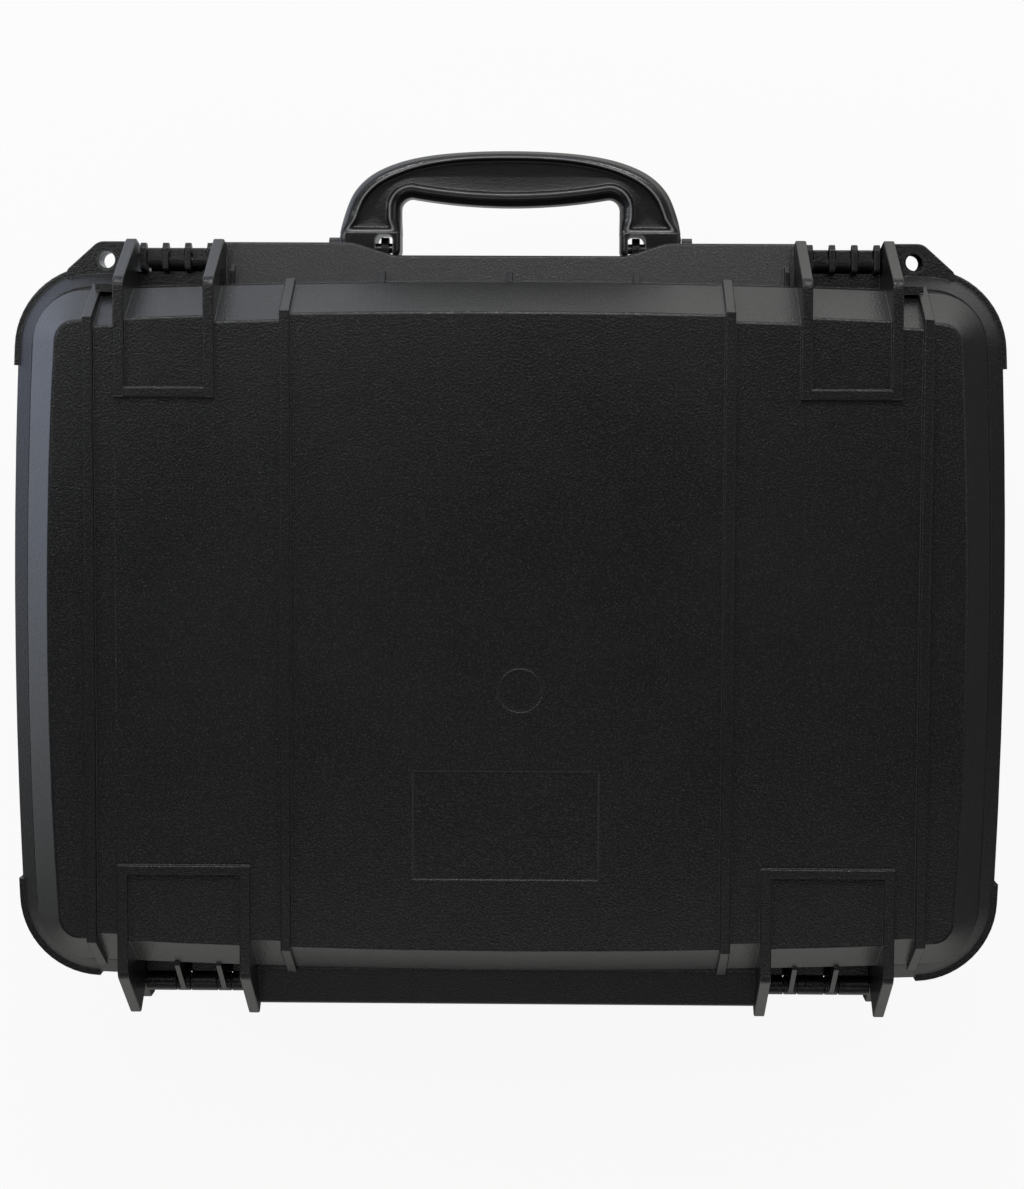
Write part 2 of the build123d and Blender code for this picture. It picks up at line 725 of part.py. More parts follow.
def handle_lugs():
    """Two lugs for each handle arm: one in its notch and one beside it."""
    z = handle_pin_z
    y = handle_pin_y
    web = front([
        (deep_root, z + 12.5), (y - 8, z + 12.5), (y, z + 5.0), (y, z - 5.0), (deep_root, z - 5.0),
    ])
    notch_mid = (notch_inner_x + notch_outer_x) / 2
    outer_x = handle_half_width + handle_side_gap
    lugs = side_plate(web, notch_mid, lug_thickness)
    lugs += rod(notch_mid - lug_thickness / 2, notch_mid + lug_thickness / 2, -y, z, lug_radius)
    lugs += side_plate(web, outer_x + 2.5, 5.0)
    lugs += rod(outer_x, outer_x + 5.0, -y, z, lug_radius)
    return both_sides(lugs)


def base_cavity():
    """Hollow of the base, from its floor to the parting plane."""
    corner = wall_corner - seal_land
    shoulder = foot_height + base_bevel_rise + 1.5
    low_x = half_x - base_wall_draft + 2 - wall
    low_y = half_y - base_wall_draft + 2 - wall
    return stack(
        (low_x - base_bevel_run + 1, low_y - base_bevel_run + 1, face_corner, foot_height + wall),
        (low_x, low_y, corner, shoulder),
        (cavity_half_x, cavity_half_y, corner, parting_z - 22),
        (cavity_half_x, cavity_half_y, corner, parting_z + 1),
    )


def along_y(y0, y1, x, z, radius):
    """Round bar along Y."""
    return Pos(x, (y0 + y1) / 2, z) * Rot(90, 0, 0) * Cylinder(radius, abs(y1 - y0))


def make_base():
    """Base shell with its rims, guards, tabs, catches, lugs and hinge knuckles."""
    body = base_outer(0)
    body += rim(parting_z, parting_z - flange_thickness - 2, parting_z - 16.0, rim_corner)
    body += bumpers(parting_z - bumper_height, parting_z)
    body += tabs(parting_z - tab_thickness, parting_z)
    body += base_flange(parting_z - flange_thickness - 2, parting_z)
    body += eave(-1)
    body += base_ribs()
    body += base_guards()
    body += latch_bay()
    body += hinge_sill()
    body += handle_lugs()
    for x, width in base_knuckles():
        body += both_sides(knuckle(x, width, width, -1))
    body += along_y(-valve_boss_y, -deep_root, 0, valve_z, valve_boss_radius)
    body -= padlock_holes(parting_z - tab_thickness, parting_z, parting_z - lid_height)
    body -= base_cavity()
    body += along_y(-valve_inner_y, -(half_y - 4), 0, valve_z, valve_boss_radius)
    body -= groove_ring(seat_depth, seat_width, parting_z, -1)
    first, last = hinge_bay
    clear = hinge_pin_radius + running_clearance
    body -= both_sides(rod(first - 0.01, last + 0.01, hinge_axis_y, hinge_z, clear))
    notch_mid = (notch_inner_x + notch_outer_x) / 2
    bore_end = handle_half_width + 5.2
    body -= both_sides(rod(notch_mid - 4, bore_end, -handle_pin_y, handle_pin_z, handle_pin_radius))
    body -= along_y(-valve_boss_y - 1, -valve_inner_y + 1, 0, valve_z, valve_stem_radius + 0.1)
    return body


# ---------------------------------------------------------------- hardware
def make_hinge_pin(side):
    """Pin through one hinge's knuckles, from fin to fin."""
    first, last = hinge_bay
    return rod(side * (first + 0.1), side * (last - 0.1), hinge_axis_y, hinge_z, hinge_pin_radius)


def make_latch_pin(side):
    """Pivot pin of one latch, held by the lid's plates."""
    half = 1.5 * knuckle_pitch + knuckle_plate_width / 2 + 0.3
    middle = side * latch_x
    return rod(middle - half, middle + half, -latch_pin_y, latch_pin_z, latch_pin_radius)


def latch_fingers():
    """Middle of each latch knuckle, from the latch's middle."""
    return (-knuckle_pitch, 0, knuckle_pitch)


def finger_width():
    """Width of each of the lever's knuckles, between the lid's plates."""
    return knuckle_pitch - knuckle_plate_width - 2 * knuckle_gap


def make_latch_lever(side):
    """Lever of one latch: knuckles on the pivot pin, a face plate and a finger pull."""
    middle = side * latch_x
    width = 2 * (latch_bay_half - latch_side_gap)
    finger = finger_width()
    low = lid_z - latch_length
    inner = latch_face_y - latch_plate
    shoulder = latch_pin_z - link_drop - 1.2
    face = front([
        (inner, low), (latch_face_y + 2.0, low), (latch_face_y + 2.0, low + 4), (latch_face_y, low + 10),
        (latch_face_y, shoulder), (inner, shoulder),
    ])
    lever = side_plate(face, middle, width, [1, 1.2, 1.5, 8, 1, 0])
    half = width / 2 - 4
    sunk_y = -latch_face_y + 1.2
    lever -= block(middle - half, middle + half, -latch_face_y - 1, sunk_y, low + 14, shoulder - 4)
    for i in range(grip_rib_count):
        z = low + 17 + grip_rib_pitch * i
        lever += block(middle - half - 1, middle + half + 1, -(inner + 1), -(latch_face_y - 0.2), z, z + 1.4)
    nose = latch_pin_y + latch_nose
    crown = latch_pin_z + latch_knuckle_radius
    arm = front([
        (inner, shoulder - 1), (latch_face_y - 0.4, shoulder - 1), (nose, latch_pin_z - 3), (nose, crown),
        (latch_pin_y, crown), (latch_pin_y - 1.5, latch_pin_z - 2),
    ])
    for offset in latch_fingers():
        x = middle + offset
        lever += side_plate(arm, x, finger, [0, 0, 1.5, 0.8, 0, 0], small_edge)
        lever += rod(x - finger / 2, x + finger / 2, -latch_pin_y, latch_pin_z, latch_knuckle_radius)
    ear = front([
        (latch_face_y - 1, shoulder - 4), (latch_face_y - 1, link_pin_z + 2),
        (link_pin_y, link_pin_z + claw_radius), (link_pin_y, link_pin_z - claw_radius),
    ])
    for hand in (-1, 1):
        x = middle + hand * (knuckle_pitch + finger / 2 - cheek_width / 2)
        lever += side_plate(ear, x, cheek_width)
        lever += rod(x - cheek_width / 2, x + cheek_width / 2, -link_pin_y, link_pin_z, claw_radius)
    clear = latch_pin_radius + running_clearance
    lever -= rod(middle - width, middle + width, -latch_pin_y, latch_pin_z, clear)
    lever -= rod(middle - width, middle + width, -link_pin_y, link_pin_z, link_pin_radius)
    claw_half = knuckle_pitch + finger / 2 - cheek_width
    room = claw_radius + 0.5
    lever -= rod(middle - claw_half, middle + claw_half, -link_pin_y, link_pin_z, room)
    return lever


def claw_width():
    """Width of the claw between the lever's cheeks."""
    return 2 * (knuckle_pitch + finger_width() / 2 - cheek_width - claw_side_gap)


def make_latch_claw(side):
    """Claw of one latch: hangs on the link pin and hooks under the base's catch."""
    middle = side * latch_x
    width = claw_width()
    inner = catch_reach + 0.5
    outer = inner + claw_plate
    hook_top = parting_z - hook_depth
    shank = front([
        (inner, link_pin_z), (inner, hook_top), (bay_face_y + hook_tip_gap, hook_top),
        (bay_face_y + hook_tip_gap, hook_top - hook_height + 1.2),
        (bay_face_y + hook_tip_gap + 2, hook_top - hook_height), (outer, hook_top - hook_height),
        (outer, link_pin_z),
    ])
    claw = side_plate(shank, middle, width, [0, 0.6, 0.4, 0.8, 0.8, 1.5, 0])
    claw += rod(middle - width / 2, middle + width / 2, -link_pin_y, link_pin_z, claw_radius)
    clear = link_pin_radius + running_clearance
    return claw - rod(middle - width, middle + width, -link_pin_y, link_pin_z, clear)


def make_link_pin(side):
    """Pin that joins one latch's lever and claw."""
    half = claw_width() / 2 + claw_side_gap + cheek_width - 0.2
    middle = side * latch_x
    return rod(middle - half, middle + half, -link_pin_y, link_pin_z, link_pin_radius)


def arch(points):
    """Points and their mirror image: one half is given from foot to middle, as (distance from X = 0, -y)."""
    left = [(-x, -reach) for x, reach in points]
    right = [(x, -reach) for x, reach in reversed(points) if x]
    return left + right


def handle_blank():
    """Solid handle with rounded edges."""
    w = handle_half_width
    inner = handle_opening_half
    top = handle_pin_y + handle_rise
    grip = handle_pin_y + grip_underside
    foot = handle_pin_y - handle_foot
    shoulder = handle_pin_y + handle_shoulder
    bend = grip + grip_sag
    crown = [(x, top - drop) for x, drop in handle_crown]
    leg = [(inner, -bend), (inner, -foot), (w - 1, -foot), (w, -shoulder)]
    edges = [
        Spline(*arch([(w, shoulder), *crown, (0, top)])),
        FilletPolyline(*leg, radius=[4.5, 5]),
        ThreePointArc((inner, -bend), (0, -grip), (-inner, -bend)),
        FilletPolyline(*[(-x, y) for x, y in leg], radius=[4.5, 5]),
    ]
    face = make_face(edges)
    corners = [v for v in face.vertices() if abs(abs(v.X) - inner) < 0.01 and abs(v.Y + bend) < 0.01]
    face = fillet(corners, 5.0)
    z0 = handle_pin_z - handle_thickness / 2
    blank = Pos(0, 0, z0) * extrude(face, handle_thickness)
    return fillet(edges_at(blank, z0, z0 + handle_thickness), handle_edge)


def handle_hollow():
    """Outline of the hollow in each face of the handle."""
    w = handle_half_width - 5.6
    side = handle_opening_half + handle_arm_lip
    top = handle_pin_y + handle_rise
    ledge = handle_pin_y + handle_foot_lip
    grip = handle_pin_y + grip_underside + handle_recess_margin + 2.0
    bend = grip + grip_sag
    crown = [(x, top - drop) for x, drop in hollow_crown]
    leg = [(side, -bend), (side, -ledge), (w - 2.0, -ledge), (w, -(ledge + 1.6))]
    edges = [
        Spline(*arch([(w, ledge + 1.6), *crown, (0, top - handle_recess_margin)])),
        Polyline(*leg),
        ThreePointArc((side, -bend), (0, -grip), (-side, -bend)),
        Polyline(*[(-x, y) for x, y in leg]),
    ]
    hollow = make_face(edges)
    bends = [v for v in hollow.vertices() if abs(abs(v.X) - side) < 0.01 and -v.Y > grip]
    return fillet(bends, 9.0)


def make_handle():
    """Handle with hollowed faces, hung on two pins through the feet of its arms."""
    z0 = handle_pin_z - handle_thickness / 2
    z1 = handle_pin_z + handle_thickness / 2
    hollow = handle_hollow()
    handle = handle_blank()
    handle -= Pos(0, 0, z1 - handle_recess_depth) * extrude(hollow, handle_recess_depth + 1)
    handle -= Pos(0, 0, z0 - 1) * extrude(hollow, handle_recess_depth + 1)
    handle -= both_sides(front_notch(z0, z1))
    first = handle_opening_half + 1.2
    clear = handle_pin_radius + running_clearance
    return handle - both_sides(rod(first, handle_half_width + 1, -handle_pin_y, handle_pin_z, clear))


def front_notch(z0, z1):
    """Arched notch in a handle arm's foot, round the base's lug."""
    y = handle_pin_y
    crown = y + 6.4
    foot = y - 10
    points = [
        (notch_inner_x, -foot), (notch_inner_x, -crown), (notch_outer_x, -crown), (notch_outer_x, -foot),
    ]
    return flat_plate(points, z0 - 1, z1 + 1, [0, 3, 3, 0])


def make_handle_pin(side):
    """Pin through one handle arm and the base's two lugs."""
    first = side * (handle_opening_half + 1.4)
    last = side * (handle_half_width + handle_side_gap + 4.4)
    return rod(first, last, -handle_pin_y, handle_pin_z, handle_pin_radius)


def make_sleeve(side, z0, z1):
    """Steel sleeve in a padlock hole."""
    tube = upright(side * padlock_x, -padlock_y, z0, z1, padlock_hole_radius + sleeve_wall)
    return tube - upright(side * padlock_x, -padlock_y, z0, z1, padlock_hole_radius)


def make_gasket():
    """Seal in the lid's groove."""
    height = groove_depth + gasket_proud - gasket_clearance
    return groove_ring(height, groove_width - 2 * gasket_clearance, lid_z - gasket_proud, 1)


# ---------------------------------------------------------------- lining
def make_lid_foam():
    """Block of convoluted foam under the lid's face."""
    inset = lid_bevel_run + 3.4 + foam_gap + 0.6
    corner = wall_corner - seal_land
    return stack(
        (cavity_half_x - foam_gap - 1.0, cavity_half_y - foam_gap - 1.0, corner, parting_z + lid_foam_drop),
        (cavity_half_x - foam_gap - 1.4, cavity_half_y - foam_gap - 1.4, corner, bevel_z),
        (half_x - inset, half_y - inset, face_corner, face_z - top_wall - foam_gap),
    )


def pocket(x, y, width, depth, z0, z1):
    """Round-cornered pocket with its middle at x, y."""
    outline_face = make_face(FilletPolyline(
        (-width / 2, -depth / 2), (width / 2, -depth / 2), (width / 2, depth / 2), (-width / 2, depth / 2),
        radius=pocket_corner, close=True))
    return Pos(x, y, z0) * extrude(outline_face, z1 - z0)


def lining(z0, z1):
    """Foam that fills the base between two heights, cut away round the valve's nut."""
    corner = wall_corner - seal_land
    gap = foam_gap + 0.4
    shoulder = foot_height + base_bevel_rise + 1.5
    low_x = half_x - base_wall_draft + 2 - wall - gap
    low_y = half_y - base_wall_draft + 2 - wall - gap
    high_x = cavity_half_x - gap
    high_y = cavity_half_y - gap
    whole = stack(
        (low_x - base_bevel_run, low_y - base_bevel_run, face_corner, foot_height + wall + 0.3),
        (low_x, low_y, corner, shoulder),
        (high_x, high_y, corner, parting_z - 22),
        (high_x, high_y, corner, parting_z),
    )
    nut_y = -(valve_inner_y - valve_nut_thickness - 3)
    valve_room = block(-16, 16, -rim_depth, nut_y, valve_z - 16, valve_z + 16)
    return (whole & block(-rim_width, rim_width, -rim_depth, rim_depth, z0, z1)) - valve_room


def make_laptop_foam():
    """Top layer of the base's foam, cut through for the laptop and for fingers at its ends."""
    top = parting_z - tray_top_drop
    floor = top - laptop_pocket
    layer = lining(floor + layer_gap, top)
    layer -= pocket(0, 0, laptop_width, laptop_depth, floor, top + 1)
    for side in (-1, 1):
        layer -= pocket(side * laptop_width / 2, 0, finger_width_x, finger_width_y, floor, top + 1)
    return layer


def make_accessory_foam():
    """Middle layer of the base's foam, with pockets for the charger and for small things."""
    top = parting_z - tray_top_drop - laptop_pocket
    low = top - accessory_pocket
    layer = lining(low + layer_gap, top)
    layer -= pocket(charger_x, charger_y, charger_width, charger_depth, low - 1, top + 1)
    return layer - pocket(mouse_x, mouse_y, mouse_width, mouse_depth, low - 1, top + 1)


def make_foam_pad():
    """Bottom layer of the base's foam."""
    top = parting_z - tray_top_drop - laptop_pocket - accessory_pocket
    return lining(foot_height + wall + layer_gap, top)


# ---------------------------------------------------------------- pressure valve
def make_valve_body():
    """Valve: a ribbed head outside the wall and a threaded stem through it."""
    head_y = -(valve_boss_y + valve_seal_thickness)
    middle_y = head_y - valve_head / 2
    body = along_y(head_y, head_y - valve_head, 0, valve_z, valve_radius)
    body += along_y(head_y - 1, -(valve_inner_y - valve_nut_thickness - 1), 0, valve_z, valve_stem_radius)
    flute = Pos(valve_radius, middle_y, 0) * Rot(90, 0, 0) * Cylinder(1.0, valve_head + 1)
    for i in range(valve_flutes):
        body -= Pos(0, 0, valve_z) * Rot(0, 360 * i / valve_flutes, 0) * flute
    return body - along_y(head_y - valve_head - 1, head_y - 1.0, 0, valve_z, valve_plug_radius)


def make_valve_plug():
    """Vent disc in the valve's head, with small air slots."""
    head_y = -(valve_boss_y + valve_seal_thickness)
    plug = along_y(head_y - 1.0, head_y - valve_head + 0.4, 0, valve_z, valve_plug_radius - 0.05)
    face_y = head_y - valve_head
    for rise in (-1.6, 0, 1.6):
        z = valve_z + rise
        plug -= block(-2.4, 2.4, face_y, face_y + 1.4, z - 0.3, z + 0.3)
    return plug


def make_valve_seal():
    """O-ring washer between the valve's head and the wall."""
    ring = along_y(-valve_boss_y, -(valve_boss_y + valve_seal_thickness), 0, valve_z, valve_radius - 1.0)
    return ring - along_y(-valve_boss_y + 1, -(valve_boss_y + 3), 0, valve_z, valve_stem_radius + 0.1)


def make_valve_nut():
    """Hexagon nut on the stem, inside the base."""
    y0 = -(valve_inner_y - 0.05)
    hexagon = extrude(RegularPolygon(valve_nut_radius, 6), valve_nut_thickness - 0.1)
    nut = Pos(0, y0, valve_z) * Rot(-90, 0, 0) * hexagon
    return nut - along_y(y0 - 1, y0 + valve_nut_thickness + 1, 0, valve_z, valve_stem_radius)


# ---------------------------------------------------------------- output
def main():
    """Build every sub-part and write it to its own file."""
    parts = {
        "lid_shell": make_lid(),
        "base_shell": make_base(),
        "lid_gasket": make_gasket(),
        "handle": make_handle(),
        "lid_foam": make_lid_foam(),
        "laptop_foam": make_laptop_foam(),
        "accessory_foam": make_accessory_foam(),
        "bottom_foam": make_foam_pad(),
        "valve_body": make_valve_body(),
        "valve_plug": make_valve_plug(),
        "valve_seal": make_valve_seal(),
        "valve_nut": make_valve_nut(),
    }
    for name, side in SIDES.items():
        parts[f"hinge_pin_{name}"] = make_hinge_pin(side)
        parts[f"latch_pivot_pin_{name}"] = make_latch_pin(side)
        parts[f"latch_lever_{name}"] = make_latch_lever(side)
        parts[f"latch_claw_{name}"] = make_latch_claw(side)
        parts[f"latch_link_pin_{name}"] = make_link_pin(side)
        parts[f"handle_pin_{name}"] = make_handle_pin(side)
        parts[f"lid_padlock_sleeve_{name}"] = make_sleeve(side, lid_z, lid_z + tab_thickness)
        parts[f"base_padlock_sleeve_{name}"] = make_sleeve(side, parting_z - tab_thickness, parting_z)
    os.makedirs("parts", exist_ok=True)
    for name, shape in parts.items():
        export_step(shape, f"parts/{name}.step")


main()
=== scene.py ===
"""Looks for the laptop hard case: moulded black plastic, steel pins, foam lining and a rubber seal."""
import math

import bmesh
import bpy
import numpy as np
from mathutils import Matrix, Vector, noise


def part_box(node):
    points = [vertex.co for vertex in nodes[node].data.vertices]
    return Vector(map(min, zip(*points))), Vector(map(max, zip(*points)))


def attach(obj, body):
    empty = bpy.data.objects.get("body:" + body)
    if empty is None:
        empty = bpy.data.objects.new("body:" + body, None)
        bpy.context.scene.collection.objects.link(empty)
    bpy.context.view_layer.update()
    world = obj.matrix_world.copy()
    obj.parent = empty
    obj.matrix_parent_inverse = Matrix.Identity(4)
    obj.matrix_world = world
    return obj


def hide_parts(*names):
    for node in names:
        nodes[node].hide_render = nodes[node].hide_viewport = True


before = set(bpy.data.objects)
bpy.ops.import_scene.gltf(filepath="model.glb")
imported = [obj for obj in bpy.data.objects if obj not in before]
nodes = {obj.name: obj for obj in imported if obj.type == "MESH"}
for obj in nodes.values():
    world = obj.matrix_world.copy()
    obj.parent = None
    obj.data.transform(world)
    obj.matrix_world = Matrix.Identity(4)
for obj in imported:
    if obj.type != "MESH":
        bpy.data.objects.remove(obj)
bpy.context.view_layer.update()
scene = bpy.context.scene


# ---------------------------------------------------------------- materials
# The Mix node's colour sockets, which share their names with its other ones
MIX_A, MIX_B, MIX_RESULT = 6, 7, 2
BEVEL_SAMPLES = 6


class Tree:
    """The nodes of a material or of the world, made and linked by short calls."""

    def __init__(self, owner, shader="Principled BSDF", coordinates="Object"):
        owner.use_nodes = True
        self.owner = owner
        self.nodes = owner.node_tree.nodes
        self.links = owner.node_tree.links
        self.shader = self.nodes[shader]
        self.coords = self.nodes.new("ShaderNodeTexCoord").outputs[coordinates]

    def add(self, kind, inputs=(), **settings):
        node = self.nodes.new(kind)
        for key, value in settings.items():
            setattr(node, key, value)
        for key, value in dict(inputs).items():
            if isinstance(value, bpy.types.NodeSocket):
                self.links.new(value, node.inputs[key])
            else:
                node.inputs[key].default_value = value
        return node

    def noise(self, scale, detail=3.0, rough=0.55, stretch=None):
        where = self.coords
        if stretch:
            where = self.add("ShaderNodeMapping", {"Vector": where, "Scale": stretch}).outputs["Vector"]
        inputs = {"Vector": where, "Scale": scale, "Detail": detail, "Roughness": rough}
        return self.add("ShaderNodeTexNoise", inputs).outputs["Fac"]

    def cells(self, scale):
        inputs = {"Vector": self.coords, "Scale": scale}
        return self.add("ShaderNodeTexVoronoi", inputs, feature="F1").outputs["Distance"]

    def ramp(self, value, low, high, out_low, out_high, kind="LINEAR"):
        inputs = {"Value": value, "From Min": low, "From Max": high,
                  "To Min": out_low, "To Max": out_high}
        return self.add("ShaderNodeMapRange", inputs, interpolation_type=kind).outputs["Result"]

    def math(self, operation, a, b):
        return self.add("ShaderNodeMath", {0: a, 1: b}, operation=operation).outputs["Value"]

    def mix(self, factor, a, b):
        node = self.add("ShaderNodeMix", data_type="RGBA")
        self.links.new(factor, node.inputs["Factor"])
        for socket, colour in ((node.inputs[MIX_A], a), (node.inputs[MIX_B], b)):
            if isinstance(colour, bpy.types.NodeSocket):
                self.links.new(colour, socket)
            else:
                socket.default_value = (*colour, 1.0)
        return node.outputs[MIX_RESULT]

    def bump(self, height, distance, normal=None):
        inputs = {"Height": height, "Distance": distance, "Strength": 1.0}
        if normal is not None:
            inputs["Normal"] = normal
        return self.add("ShaderNodeBump", inputs).outputs["Normal"]

    def soft_normal(self, radius):
        return self.add("ShaderNodeBevel", {"Radius": radius}, samples=BEVEL_SAMPLES).outputs["Normal"]

    def edges(self, radius, low, high):
        """1 on edges that the surface turns sharply at, 0 on flat areas."""
        face = self.add("ShaderNodeNewGeometry").outputs["Normal"]
        inputs = {0: self.soft_normal(radius), 1: face}
        same = self.add("ShaderNodeVectorMath", inputs, operation="DOT_PRODUCT").outputs["Value"]
        return self.ramp(same, low, high, 1.0, 0.0)

    def finish(self, **values):
        for key, value in values.items():
            socket = self.shader.inputs[key.replace("_", " ")]
            if isinstance(value, bpy.types.NodeSocket):
                self.links.new(value, socket)
            else:
                socket.default_value = value


# Features to the metre of each texture: on moulded plastic, and on foam, rubber and steel
FLOW, SMUDGES, PATCHES, CELLS, SPECKS, GRAIN = 7.0, 11.0, 34.0, 900.0, 1100.0, 1500.0
NAP, DUST, DULLED, PITS, STREAKS, PORES = 9.0, 60.0, 120.0, 760.0, 900.0, 1400.0
# Heights of the bumps and radii of the edges, in metres; edges are softened a little, and their wear
# and painted highlight reach wider
CELL_HEIGHT, GRAIN_HEIGHT = 0.00010, 0.00011
STREAK_HEIGHT, PORE_DEPTH = 0.00003, 0.00006
PIT_DEPTH, NAP_HEIGHT = 0.0007, 0.0002
EDGE_RADIUS, WEAR_HIGHLIGHT_RADIUS = 0.0005, 0.0013
# How far two normals agree, from an edge with full wear and painted highlight to an untouched face
WEAR_HIGHLIGHT_RANGE = (0.78, 0.975)
# The least mark between patches: wear and painted highlight on edges, painted highlight on the handle's
# lips
LEAST_WEAR_AND_HIGHLIGHT, LEAST_LIP_HIGHLIGHT = 0.70, 0.75
# How much smudges lower the roughness
SMUDGE_GLOSS = 0.035
SPECK_TONE = (0.032, 0.032, 0.033)
# Streaks are drawn out along X, the length of every pin
ALONG_X = (0.06, 1.0, 1.0)
# Attribute that marks the handle's lips for a painted highlight
LIP_HIGHLIGHT_ATTRIBUTE = "lip_highlight"


def new_material(name):
    return Tree(bpy.data.materials.new(name))


def moulded(name, dark, pale, wear_highlight_tone, rough, grain, specular):
    """Moulded plastic: fine spark-eroded grain, faint flow marks, smudges, edge wear with a painted
    highlight, and a painted highlight on marked lips.
    """
    t = new_material(name)
    flow = t.noise(FLOW, 4.0, 0.6)
    tone = t.mix(t.ramp(flow, 0.35, 0.65, 0.0, 1.0), dark, pale)
    speck = t.ramp(t.noise(SPECKS, 2.0), 0.52, 0.72, 0.0, grain)
    tone = t.mix(speck, tone, SPECK_TONE)
    patches = t.ramp(t.noise(PATCHES, 5.0, 0.7), 0.45, 0.70, 0.0, 1.0)
    # Lighter edges: partly wear, partly a painted highlight
    wear_and_highlight = t.math("MULTIPLY", t.edges(WEAR_HIGHLIGHT_RADIUS, *WEAR_HIGHLIGHT_RANGE), t.ramp(patches, 0.0, 1.0, LEAST_WEAR_AND_HIGHLIGHT, 1.0))
    # Marked lips: a painted highlight
    lips = t.add("ShaderNodeAttribute", attribute_name=LIP_HIGHLIGHT_ATTRIBUTE).outputs["Fac"]
    wear_and_highlight = t.math("MAXIMUM", wear_and_highlight, t.math("MULTIPLY", lips, t.ramp(patches, 0.0, 1.0, LEAST_LIP_HIGHLIGHT, 1.0)))
    tone = t.mix(wear_and_highlight, tone, wear_highlight_tone)
    smudge = t.ramp(t.noise(SMUDGES, 6.0, 0.65), 0.40, 0.72, 0.0, SMUDGE_GLOSS)
    roughness = t.math("SUBTRACT", rough, smudge)
    coarse = t.bump(t.cells(CELLS), grain * CELL_HEIGHT, t.soft_normal(EDGE_RADIUS))
    fine = t.bump(t.noise(GRAIN, 2.0), grain * GRAIN_HEIGHT, coarse)
    t.finish(Base_Color=tone, Roughness=roughness, Normal=fine, Specular_IOR_Level=specular)
    return t.owner


def drawn_steel(name, dark, pale):
    """Drawn steel wire or tube: fine streaks along its length, dulled in patches."""
    t = new_material(name)
    streak = t.noise(STREAKS, 3.0, 0.6, ALONG_X)
    tone = t.mix(t.ramp(streak, 0.3, 0.7, 0.0, 1.0), dark, pale)
    dull = t.ramp(t.noise(DULLED, 4.0), 0.35, 0.7, 0.22, 0.42)
    t.finish(Base_Color=tone, Roughness=dull, Metallic=1.0, Normal=t.bump(streak, STREAK_HEIGHT))
    return t.owner


def open_foam(name, dark, pale):
    """Open-cell foam: pits between fine struts, with painted shade in the pits, and a soft nap."""
    t = new_material(name)
    pits = t.ramp(t.cells(PITS), 0.10, 0.62, 0.0, 1.0)
    # The pits take the dark tone: painted shade in the hollows
    tone = t.mix(pits, pale, dark)
    tone = t.mix(t.ramp(t.noise(NAP, 4.0), 0.35, 0.7, 0.0, 0.35), tone, pale)
    deep = t.bump(t.ramp(t.cells(PITS), 0.0, 0.6, 1.0, 0.0), PIT_DEPTH)
    t.finish(Base_Color=tone, Roughness=0.97, Normal=t.bump(t.noise(GRAIN, 3.0), NAP_HEIGHT, deep),
             Specular_IOR_Level=0.15, Sheen_Weight=0.25, Sheen_Roughness=0.6)
    return t.owner


def rubber(name, clean, dusty):
    """Extruded rubber: dull, finely pitted and dusty."""
    t = new_material(name)
    dust = t.ramp(t.noise(DUST, 5.0, 0.7), 0.45, 0.75, 0.0, 0.4)
    tone = t.mix(dust, clean, dusty)
    t.finish(Base_Color=tone, Roughness=t.ramp(dust, 0.0, 0.4, 0.62, 0.85),
             Normal=t.bump(t.noise(PORES, 2.0), PORE_DEPTH), Specular_IOR_Level=0.35)
    return t.owner


# Each plastic's fourth colour is its edge wear with a painted highlight; on the handle it is also the
# painted highlight on its lips
SHELL = moulded("shell_plastic", (0.0080, 0.0082, 0.0088), (0.0120, 0.0122, 0.0128),
                (0.075, 0.075, 0.077), rough=0.31, grain=0.9, specular=0.40)
FITTING = moulded("fitting_plastic", (0.009, 0.009, 0.0095), (0.014, 0.014, 0.0145),
                  (0.16, 0.16, 0.162), rough=0.33, grain=0.7, specular=0.5)
GLOSSY = moulded("handle_plastic", (0.008, 0.008, 0.0083), (0.011, 0.011, 0.0113),
                 (0.30, 0.30, 0.302), rough=0.22, grain=0.25, specular=0.55)
STEEL = drawn_steel("steel", (0.16, 0.16, 0.165), (0.38, 0.38, 0.375))
# The sleeves' steel is a darker copy of the pins' steel: painted shade for the insides of the padlock
# holes
SHADED_SLEEVE_STEEL = drawn_steel("sleeve_steel", (0.03, 0.03, 0.032), (0.12, 0.12, 0.12))
FOAM = open_foam("foam", (0.010, 0.010, 0.011), (0.060, 0.060, 0.063))
PAD_FOAM = open_foam("pad_foam", (0.013, 0.013, 0.014), (0.075, 0.075, 0.078))
RUBBER = rubber("seal_rubber", (0.012, 0.012, 0.013), (0.035, 0.034, 0.033))

# Material of each CAD node
DRESS = (
    (SHELL, ("lid_shell", "base_shell")),
    (FITTING, ("valve_body", "valve_plug", "valve_nut",
               "latch_lever_left", "latch_lever_right", "latch_claw_left", "latch_claw_right")),
    (GLOSSY, ("handle",)),
    (RUBBER, ("valve_seal", "lid_gasket")),
    (FOAM, ("lid_foam", "laptop_foam", "accessory_foam", "bottom_foam")),
    (STEEL, ("hinge_pin_left", "hinge_pin_right", "latch_pivot_pin_left", "latch_pivot_pin_right",
             "latch_link_pin_left", "latch_link_pin_right", "handle_pin_left", "handle_pin_right")),
    (SHADED_SLEEVE_STEEL, ("lid_padlock_sleeve_left", "lid_padlock_sleeve_right",
              "base_padlock_sleeve_left", "base_padlock_sleeve_right")),
)


def dress(mesh, material):
    mesh.materials.clear()
    mesh.materials.append(material)


for material, names in DRESS:
    for name in names:
        dress(nodes[name].data, material)


# ---------------------------------------------------------------- foam
WELD = 0.00001
# Cut foam is smoothed, and kept a touch smaller than its place
FOAM_SMOOTHING, FOAM_SHRINK = 5, 0.9985
